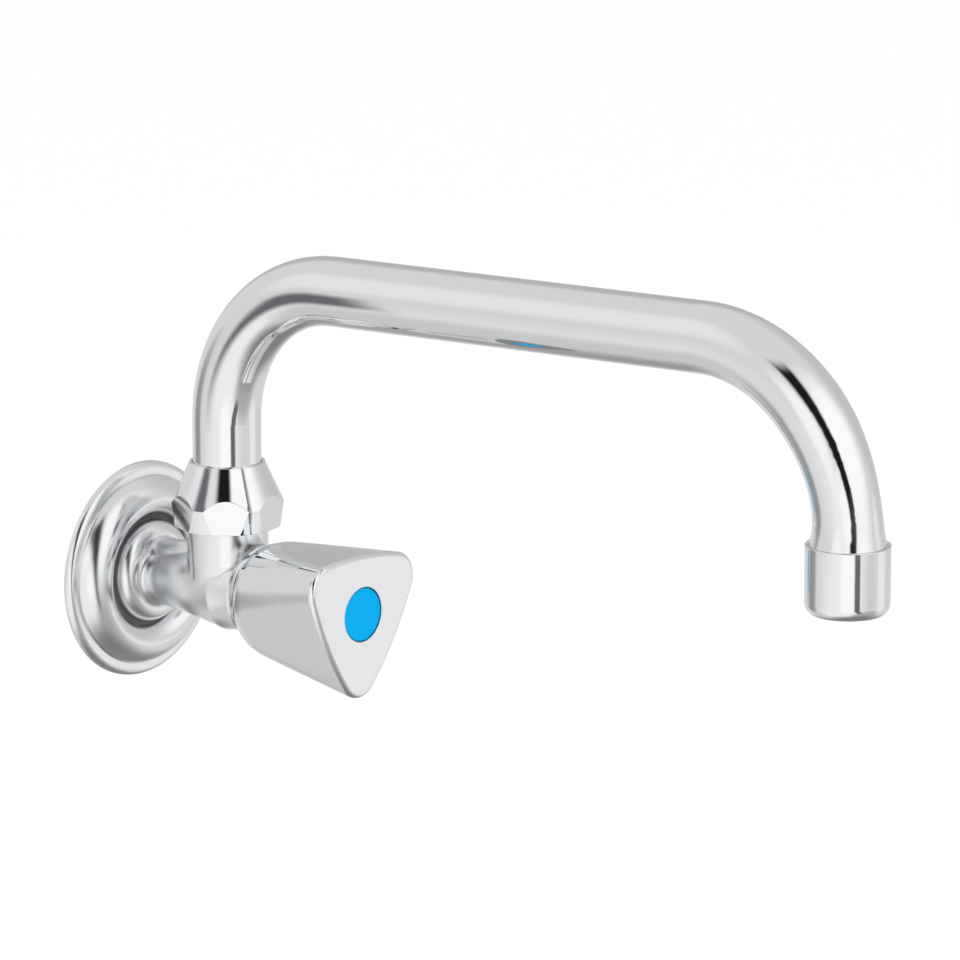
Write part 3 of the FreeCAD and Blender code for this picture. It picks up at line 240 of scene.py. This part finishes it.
class Shading:
    """Node tree of one material or world, with short calls for adding and joining its nodes."""

    def __init__(self, owner):
        owner.use_nodes = True
        self.tree = owner.node_tree
        self.tree.nodes.clear()

    def add(self, kind, inputs=None, **settings):
        """A new node; sockets in the inputs are joined and values are set."""
        node = self.tree.nodes.new(f"ShaderNode{kind}")
        for name, value in settings.items():
            setattr(node, name, value)
        for name, value in (inputs or {}).items():
            socket = node.inputs[name]
            if isinstance(value, bpy.types.NodeSocket):
                self.tree.links.new(value, socket)
            else:
                socket.default_value = value
        return node

    def math(self, operation, *values):
        return self.add("Math", dict(enumerate(values)), operation=operation).outputs[0]

    def noise(self, coordinates, scale, detail):
        inputs = {"Vector": coordinates, "Scale": scale, "Detail": detail}
        return self.add("TexNoise", inputs).outputs["Fac"]

    def spread(self, value, low, high):
        """A value from 0 to 1 laid over the range from low to high."""
        return self.add("MapRange", {"Value": value, "To Min": low, "To Max": high}).outputs[0]

    def ramp(self, value, start, end, low=0.0, high=1.0):
        """Smooth step from low to high as the value goes from start to end."""
        inputs = {"Value": value, "From Min": start, "From Max": end, "To Min": low, "To Max": high}
        return self.add("MapRange", inputs, interpolation_type="SMOOTHSTEP").outputs[0]

    def blend(self, share, first, second):
        """Mix of two numbers."""
        return self.add("Mix", {0: share, 2: first, 3: second}, data_type="FLOAT").outputs[0]

    def tint(self, share, first, second):
        """Mix of two colours, each with its alpha or a socket."""
        inputs = {0: share, 6: first, 7: second}
        return self.add("Mix", inputs, data_type="RGBA").outputs[2]

    def vector(self, operation, *values):
        return self.add("VectorMath", dict(enumerate(values)), operation=operation).outputs

    def dot(self, vector, fixed):
        return self.vector("DOT_PRODUCT", vector, fixed)["Value"]

    def split(self, vector):
        """The X, Y and Z of a vector."""
        return self.add("SeparateXYZ", {0: vector}).outputs

    def seen_directly(self):
        """1 for what the camera sees, also through glass."""
        path = self.add("LightPath").outputs
        return self.math("MAXIMUM", path["Is Camera Ray"], path["Is Transmission Ray"])

    def bump(self, height, distance, below=None):
        """Surface direction with bumps of this depth, laid over those below."""
        inputs = {"Height": height, "Distance": distance, "Strength": 1.0}
        if below is not None:
            inputs["Normal"] = below
        return self.add("Bump", inputs).outputs["Normal"]

    def mix_surfaces(self, share, first, second):
        return self.add("MixShader", {0: share, 1: first, 2: second}).outputs[0]

    def place(self):
        """Place on the piece, which turns and moves with it."""
        return self.add("TexCoord").outputs["Object"]


def opaque(colour):
    return (*colour, 1.0)


def new_material(name):
    material = bpy.data.materials.new(name)
    return material, Shading(material)


def finish_surface(shading, **inputs):
    """Principled shader with the given sockets, joined to the material's output."""
    named = {name.replace("_", " "): value for name, value in inputs.items()}
    shader = shading.add("BsdfPrincipled", named)
    shading.add("OutputMaterial", {"Surface": shader.outputs[0]})


def add_sheet(name, half_width, half_height):
    """A flat sheet with four corners, for the stage."""
    signs = ((-1, -1), (1, -1), (1, 1), (-1, 1))
    mesh = bpy.data.meshes.new(name)
    mesh.from_pydata([(x * half_width, y * half_height, 0.0) for x, y in signs], [], [(0, 1, 2, 3)])
    sheet = bpy.data.objects.new(name, mesh)
    bpy.context.scene.collection.objects.link(sheet)
    return sheet


def add_piece(name, data, body):
    """A new piece in the scene that rides on a body."""
    piece = bpy.data.objects.new(name, data)
    bpy.context.scene.collection.objects.link(piece)
    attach(piece, body)
    return piece


def copy_node(node_name, name):
    """A copy of a node of the frame that stands for it and can be worked on."""
    piece = add_piece(name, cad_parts[node_name].data.copy(), "tap_body")
    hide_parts(node_name)
    return piece


def join_rings(mesh, lower, upper):
    """Smooth faces between two rings of as many points."""
    for first, second in zip(range(len(lower)), (*range(1, len(lower)), 0)):
        face = mesh.faces.new((lower[first], lower[second], upper[second], upper[first]))
        face.smooth = True


def thread_radius(turn, place):
    """Radius of the pipe thread at a turn round the shank and a place along it."""
    wave = THREAD_FLATS * math.cos(2.0 * math.pi * (place / THREAD_PITCH - turn))
    depth = THREAD_DEPTH * (0.5 - 0.5 * max(-1.0, min(1.0, wave)))
    run_out = min(1.0, (place - THREAD_START) / THREAD_PITCH)
    chamfer = THREAD_RADIUS - THREAD_CHAMFER + (THREAD_END - place)
    return min(THREAD_RADIUS - depth * run_out, chamfer)


def dress(node_name, material):
    """Give a node of the frame one material in place of what it had."""
    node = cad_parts[node_name]
    node.data.materials.clear()
    node.data.materials.append(material)


# ---------------------------------------------------------------- finishes

def make_chrome(name, gloss, edge, unplated_from=None):
    """Polished chrome with faint haze, slight waves and softened edges.

    Behind the place unplated_from, along Y, the surface is bare brass.
    """
    material, shading = new_material(name)
    place = shading.place()
    haze = shading.noise(place, HAZE_SCALE, 4.0)
    roughness = shading.spread(haze, gloss * (1.0 - HAZE_SPREAD), gloss * (1.0 + HAZE_SPREAD))
    worn = shading.add("Bevel", {"Radius": edge}, samples=EDGE_SAMPLES).outputs[0]
    waves = shading.bump(shading.noise(place, WAVE_SCALE, 1.0), WAVE_DEPTH, worn)
    grain = shading.bump(shading.noise(place, GRAIN_SCALE, 2.0), GRAIN_DEPTH, waves)
    colour = opaque(bpy.context.scene.faucet_finish.chrome_tint)
    if unplated_from is not None:
        behind = shading.math("GREATER_THAN", shading.split(place)["Y"], unplated_from)
        brass = shading.tint(shading.noise(place, BARE_BRASS_SCALE, 3.0), *map(opaque, BARE_BRASS))
        colour = shading.tint(behind, colour, brass)
        roughness = shading.blend(behind, roughness, BARE_BRASS_GLOSS)
    finish_surface(shading, Base_Color=colour, Metallic=1.0, Roughness=roughness, Normal=grain)
    return material


def make_plain(name, colour, roughness, grain_scale, grain_depth, metallic=0.0, specular=0.5):
    """A finish whose colour and gloss vary a little, with a fine grain."""
    material, shading = new_material(name)
    place = shading.place()
    patches = shading.noise(place, 60.0, 3.0)
    shade = shading.add("HueSaturation", {
        "Color": opaque(colour), "Value": shading.spread(patches, 0.9, 1.1)}).outputs[0]
    grain = shading.bump(shading.noise(place, grain_scale, 3.0), grain_depth)
    finish_surface(shading, Base_Color=shade, Metallic=metallic, Specular_IOR_Level=specular,
                   Roughness=shading.spread(patches, roughness * 0.85, roughness * 1.15), Normal=grain)
    return material


# ---------------------------------------------------------------- operators

class FAUCET_OT_chromed_parts(bpy.types.Operator):
    """Give the chromed castings, the tube and the pressed plate their polish"""
    bl_idname = "faucet.chromed_parts"
    bl_label = "Chromed parts"

    def execute(self, context):
        finish = context.scene.faucet_finish
        chrome = make_chrome("polished_chrome", finish.chrome_gloss, POLISHED_EDGE)
        for name in CHROMED:
            dress(name, chrome)
        dress("wall_escutcheon", make_chrome("pressed_plate", finish.casting_gloss, POLISHED_EDGE))
        return {"FINISHED"}


class FAUCET_OT_threaded_body(bpy.types.Operator):
    """Cut the pipe thread into the shank of the valve body and polish the rest"""
    bl_idname = "faucet.threaded_body"
    bl_label = "Threaded body"

    def execute(self, context):
        piece = copy_node("valve_body", "threaded_valve_body")
        mesh = bmesh.new()
        mesh.from_mesh(piece.data)
        shank = [face for face in mesh.faces if self.is_shank(face)]
        bmesh.ops.delete(mesh, geom=shank, context="FACES")
        self.add_thread(mesh)
        mesh.to_mesh(piece.data)
        mesh.free()
        piece.data.materials.clear()
        gloss = context.scene.faucet_finish.casting_gloss
        piece.data.materials.append(make_chrome("polished_casting", gloss, CAST_EDGE, THREAD_START))
        return {"FINISHED"}

    def is_shank(self, face):
        """Whether a face lies outside on the shank, where the thread takes its place."""
        behind = all(corner.co.y > THREAD_START - SHANK_SLACK for corner in face.verts)
        reach = max(math.hypot(corner.co.x, corner.co.z) for corner in face.verts)
        return behind and reach > BORE_RADIUS * BORE_SLACK

    def add_thread(self, mesh):
        """Rows of points round the shank, from the relief by the collar to the bore's mouth."""
        count = math.ceil((THREAD_END - THREAD_START) / THREAD_PITCH * THREAD_ROWS)
        step = (THREAD_END - THREAD_START) / count
        rows = [self.ring(mesh, THREAD_START, lambda turn: RELIEF_RADIUS)]
        for number in range(count + 1):
            place = THREAD_START + number * step
            rows.append(self.ring(mesh, place, lambda turn: thread_radius(turn, place)))
        rows.append(self.ring(mesh, THREAD_END, lambda turn: BORE_RADIUS))
        for lower, upper in zip(rows[:-1], rows[1:]):
            join_rings(mesh, lower, upper)

    def ring(self, mesh, place, radius_at):
        """Points round the shank, whose radius depends on the share of the turn."""
        ring = []
        for side in range(THREAD_SIDES):
            turn = side / THREAD_SIDES
            radius = radius_at(turn)
            angle = 2.0 * math.pi * turn
            ring.append(mesh.verts.new((radius * math.cos(angle), place, radius * math.sin(angle))))
        return ring


class FAUCET_OT_outlet_screen(bpy.types.Operator):
    """Weave the wire screen of the aerator"""
    bl_idname = "faucet.outlet_screen"
    bl_label = "Outlet screen"

    def execute(self, context):
        low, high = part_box("aerator_screen")
        middle = (low + high) / 2
        radius = (high.x - low.x) / 2 - WIRE_RADIUS
        mesh = bmesh.new()
        wires = math.floor(radius / WIRE_PITCH)
        for number in range(-wires, wires + 1):
            offset = number * WIRE_PITCH
            reach = math.sqrt(radius * radius - offset * offset)
            for across in (False, True):
                self.add_wire(mesh, middle, offset, reach, number, across)
        data = bpy.data.meshes.new("woven_outlet_screen")
        mesh.to_mesh(data)
        mesh.free()
        screen = add_piece("woven_outlet_screen", data, "spout")
        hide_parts("aerator_screen")
        data.materials.append(make_plain("screen_wire", (0.62, 0.62, 0.64), 0.22, 3000.0, 0.000004, 1.0))
        return {"FINISHED"}

    def add_wire(self, mesh, middle, offset, reach, number, across):
        """One wire that passes over and under those it crosses."""
        steps = max(2, math.ceil(2.0 * reach / WIRE_PITCH * WIRE_STEPS))
        rings = []
        for step in range(steps + 1):
            along = reach * (2.0 * step / steps - 1.0)
            wave = math.cos(math.pi * (along / WIRE_PITCH + number)) * WIRE_RADIUS
            height = -wave if across else wave
            ring = []
            for side in range(WIRE_SIDES):
                angle = 2.0 * math.pi * side / WIRE_SIDES
                aside = offset + WIRE_RADIUS * math.cos(angle)
                up = height + WIRE_RADIUS * math.sin(angle)
                point = (aside, along, up) if across else (along, aside, up)
                ring.append(mesh.verts.new(middle + Vector(point)))
            rings.append(ring)
        for before, after in zip(rings[:-1], rings[1:]):
            join_rings(mesh, before, after)
        mesh.faces.new(rings[0])
        mesh.faces.new(rings[-1][::-1])


class FAUCET_OT_inner_parts(bpy.types.Operator):
    """Give the brass, steel, rubber, plastic and fibre parts their finish"""
    bl_idname = "faucet.inner_parts"
    bl_label = "Inner parts"

    def execute(self, context):
        finishes = (
            (BRASS, make_plain("machined_brass", (0.72, 0.5, 0.2), 0.25, 900.0, 0.00001, 1.0)),
            (STEEL, make_plain("stainless_steel", (0.6, 0.6, 0.62), 0.25, 1200.0, 0.00001, 1.0)),
            (RUBBER, make_plain("black_rubber", (0.018, 0.018, 0.02), 0.6, 900.0, 0.00003)),
            (PLASTIC, make_plain("white_acetal", (0.78, 0.78, 0.75), 0.4, 700.0, 0.00001)),
            (GREY_RUBBER, make_plain("grey_rubber", (0.12, 0.12, 0.125), 0.6, 900.0, 0.00003)),
            (FIBRE, make_plain("red_fibre", (0.28, 0.06, 0.04), 0.75, 500.0, 0.00005)),
        )
        for names, material in finishes:
            for name in names:
                dress(name, material)
        return {"FINISHED"}


class FAUCET_OT_index_cap(bpy.types.Operator):
    """Give the index cap its blue plastic"""
    bl_idname = "faucet.index_cap"
    bl_label = "Index cap"

    def execute(self, context):
        dress("index_cap", self.make_blue_plastic(context.scene.faucet_finish.cap_blue))
        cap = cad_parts["index_cap"]
        rounding = cap.modifiers.new("rounded_edge", "BEVEL")
        rounding.width = CAP_ROUNDING
        rounding.segments = CAP_ROUNDING_STEPS
        rounding.limit_method = "ANGLE"
        rounding.angle_limit = CAP_EDGE_ANGLE
        return {"FINISHED"}

    def make_blue_plastic(self, blue):
        """Dyed blue plastic, with painted shade that darkens it towards the rim, where the edge meets its
        seat.
        """
        material, shading = new_material("blue_plastic")
        place = shading.place()
        low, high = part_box("index_cap")
        radius = (high.x - low.x) / 2
        middle = (low + high) / 2
        away = shading.vector("SUBTRACT", place, tuple(middle))[0]
        level = shading.vector("MULTIPLY", away, (1.0, 0.0, 1.0))[0]
        reach = shading.vector("LENGTH", level)["Value"]
        # Painted shade: the blue darkens towards the rim, where the cap meets its seat.
        shade_start, shade_full = CAP_PAINTED_SHADE_RIM
        painted_shade = shading.ramp(reach, shade_start * radius, shade_full * radius)
        patches = shading.noise(place, 60.0, 3.0)
        painted_shade_colour = opaque(CAP_PAINTED_SHADE_LEVEL * part for part in blue)
        shade = shading.add("HueSaturation", {
            "Color": shading.tint(painted_shade, opaque(blue), painted_shade_colour),
            "Value": shading.spread(patches, 0.97, 1.03)}).outputs[0]
        finish_surface(shading, Base_Color=shade, Roughness=0.4, Specular_IOR_Level=0.04,
                       Normal=shading.bump(shading.noise(place, 500.0, 3.0), 0.000006))
        return material


class FAUCET_OT_studio(bpy.types.Operator):
    """Build the pale floor, the soft room, the lamp and the dark card round the tap"""
    bl_idname = "faucet.studio"
    bl_label = "Studio"

    def execute(self, context):
        studio = context.scene.faucet_studio
        self.make_floor(cad_box[0].z - studio.floor_drop)
        self.make_room(context.scene, studio)
        self.make_lamp(studio.lamp_power)
        self.make_card()
        context.scene.view_settings.view_transform = "Standard"
        return {"FINISHED"}

    def make_floor(self, height):
        """A pale floor that the chrome doesn't mirror."""
        floor = add_sheet("floor", FLOOR_REACH, FLOOR_REACH)
        floor.location.z = height
        floor.visible_glossy = False
        material, shading = new_material("pale_floor")
        seen = shading.math("MULTIPLY", shading.seen_directly(), FLOOR_GLOW)
        matt = shading.add("BsdfDiffuse", {"Color": FLOOR_COLOUR}).outputs[0]
        white = shading.add("Emission", {"Color": WHITE, "Strength": FLOOR_STRENGTH}).outputs[0]
        shading.add("OutputMaterial", {"Surface": shading.mix_surfaces(seen, matt, white)})
        floor.data.materials.append(material)

    def make_room(self, scene, studio):
        """White to the eye, even light for matt surfaces, and soft boxes and a dark flag in the chrome."""
        world = bpy.data.worlds.new("studio")
        scene.world = world
        shading = Shading(world)
        outward = shading.add("TexCoord").outputs["Generated"]
        level = studio.wall_tone
        for azimuth, elevation, half_width, softness, brightness in ROOM_PATCHES:
            across = shading.dot(outward, direction(azimuth, elevation))
            outer = math.cos(math.radians(half_width + softness))
            inner = math.cos(math.radians(half_width - softness))
            level = shading.blend(shading.ramp(across, outer, inner), level, brightness)
        mask, height = self.flag_mask(shading, outward)
        tone = shading.ramp(height, *FLAG_TONE_STEP, studio.flag_foot_tone, studio.flag_tone)
        level = shading.blend(mask, level, tone)
        mirrored = shading.add("Background", {"Color": level, "Strength": 1.0}).outputs[0]
        even = shading.add("Background", {"Color": WHITE, "Strength": studio.room_light}).outputs[0]
        backdrop = shading.add("Background", {"Color": WHITE, "Strength": 1.0}).outputs[0]
        glossy = shading.add("LightPath").outputs["Is Glossy Ray"]
        lighting = shading.mix_surfaces(glossy, even, mirrored)
        room = shading.mix_surfaces(shading.seen_directly(), lighting, backdrop)
        shading.add("OutputWorld", {"Surface": room})

    def flag_mask(self, shading, outward):
        """A long straight dark flag, narrow at its foot and wide and soft at its top.

        Returns how much of it lies in a direction, and how far up the flag that is.
        """
        foot, top = (direction(*end) for end in FLAG_ENDS)
        side = foot.cross(top).normalized()
        middle = (foot + top).normalized()
        upward = (top - foot).normalized()
        reach = top.dot(upward)
        along = shading.dot(outward, upward)
        off_line = shading.math("ABSOLUTE", shading.dot(outward, side))
        width = shading.ramp(along, -reach, reach, *FLAG_WIDTHS)
        edge = shading.ramp(along, -reach, reach, *FLAG_EDGES)
        inner = shading.math("SUBTRACT", width, edge)
        outer = shading.math("ADD", width, edge)
        strip = shading.ramp(off_line, inner, outer, 1.0, 0.0)
        tip_start, tip_end = (reach + tip for tip in FLAG_TIPS)
        ended = shading.ramp(shading.math("ABSOLUTE", along), tip_start, tip_end, 1.0, 0.0)
        ahead = shading.ramp(shading.dot(outward, middle), *FLAG_HEMISPHERE)
        return shading.math("MULTIPLY", shading.math("MULTIPLY", strip, ended), ahead), along

    def make_card(self):
        """A dark card with soft edges, which only the chrome sees."""
        width, height = CARD_SIZE
        card = add_sheet("dark_card", width, height)
        card.location = CARD_MIDDLE
        card.rotation_mode = "QUATERNION"
        card.rotation_quaternion = (CARD_AIM - CARD_MIDDLE).to_track_quat("Z", "Y")
        for ray in ("camera", "diffuse", "transmission", "volume_scatter", "shadow"):
            setattr(card, f"visible_{ray}", False)
        material, shading = new_material("dark_card")
        place = shading.split(shading.place())
        across = shading.math("ABSOLUTE", place["X"])
        upward = shading.math("ABSOLUTE", place["Y"])
        solid = shading.math("MULTIPLY", shading.ramp(across, width, CARD_SOLID * width),
                             shading.ramp(upward, height, CARD_SOLID * height))
        clear = shading.add("BsdfTransparent").outputs[0]
        dark = shading.add("Emission", {"Color": CARD_COLOUR}).outputs[0]
        shading.add("OutputMaterial", {"Surface": shading.mix_surfaces(solid, clear, dark)})
        card.data.materials.append(material)

    def make_lamp(self, power):
        """A large soft lamp overhead, which throws the shadow and isn't mirrored."""
        lamp = bpy.data.lights.new("overhead_softbox", "AREA")
        lamp.shape = "RECTANGLE"
        lamp.size, lamp.size_y = LAMP_SIZE
        lamp.energy = power
        holder = bpy.data.objects.new("overhead_softbox", lamp)
        holder.location = LAMP_PLACE
        holder.rotation_mode = "QUATERNION"
        holder.rotation_quaternion = (LAMP_AIM - LAMP_PLACE).to_track_quat("-Z", "Y")
        holder.visible_glossy = False
        bpy.context.scene.collection.objects.link(holder)


class FAUCET_OT_camera(bpy.types.Operator):
    """Set up the camera that sees the tap as the photograph does"""
    bl_idname = "faucet.camera"
    bl_label = "Camera"

    def execute(self, context):
        settings = context.scene.faucet_camera
        turn = settings.azimuth
        rise = settings.elevation
        back = Vector((math.sin(turn) * math.cos(rise), -math.cos(turn) * math.cos(rise), math.sin(rise)))
        right = Vector((math.cos(turn), math.sin(turn), 0.0))
        up = back.cross(right)
        data = bpy.data.cameras.new("photo_camera")
        data.sensor_width = SENSOR_WIDTH
        data.lens = settings.lens
        data.clip_start, data.clip_end = CLIP_RANGE
        camera = bpy.data.objects.new("photo_camera", data)
        camera.matrix_world = (Matrix.Translation(Vector(settings.target) + back * settings.distance)
                               @ Matrix((right, up, back)).transposed().to_4x4())
        context.scene.collection.objects.link(camera)
        context.scene.camera = camera
        return {"FINISHED"}


# ---------------------------------------------------------------- panel and start

OPERATORS = (FAUCET_OT_camera, FAUCET_OT_chromed_parts, FAUCET_OT_threaded_body, FAUCET_OT_outlet_screen,
             FAUCET_OT_inner_parts, FAUCET_OT_index_cap, FAUCET_OT_studio)


class FAUCET_PT_panel(bpy.types.Panel):
    """The faucet's pieces, finishes and studio"""
    bl_label = "Faucet"
    bl_idname = "FAUCET_PT_panel"
    bl_space_type = "VIEW_3D"
    bl_region_type = "UI"
    bl_category = "Faucet"

    def draw(self, context):
        for group in (context.scene.faucet_finish, context.scene.faucet_studio, context.scene.faucet_camera):
            for name in group.__annotations__:
                self.layout.prop(group, name)
        for operator in OPERATORS:
            self.layout.operator(operator.bl_idname)


GROUPS = {"faucet_finish": FinishSettings, "faucet_studio": StudioSettings, "faucet_camera": CameraSettings}


def register():
    for kind in (*GROUPS.values(), *OPERATORS, FAUCET_PT_panel):
        bpy.utils.register_class(kind)
    for name, kind in GROUPS.items():
        setattr(bpy.types.Scene, name, PointerProperty(type=kind))


def unregister():
    for name in GROUPS:
        delattr(bpy.types.Scene, name)
    for kind in (FAUCET_PT_panel, *OPERATORS, *GROUPS.values()):
        bpy.utils.unregister_class(kind)


def main():
    register()
    for operator in OPERATORS:
        group, name = operator.bl_idname.split(".")
        getattr(getattr(bpy.ops, group), name)()


if __name__ == "__main__":
    main()
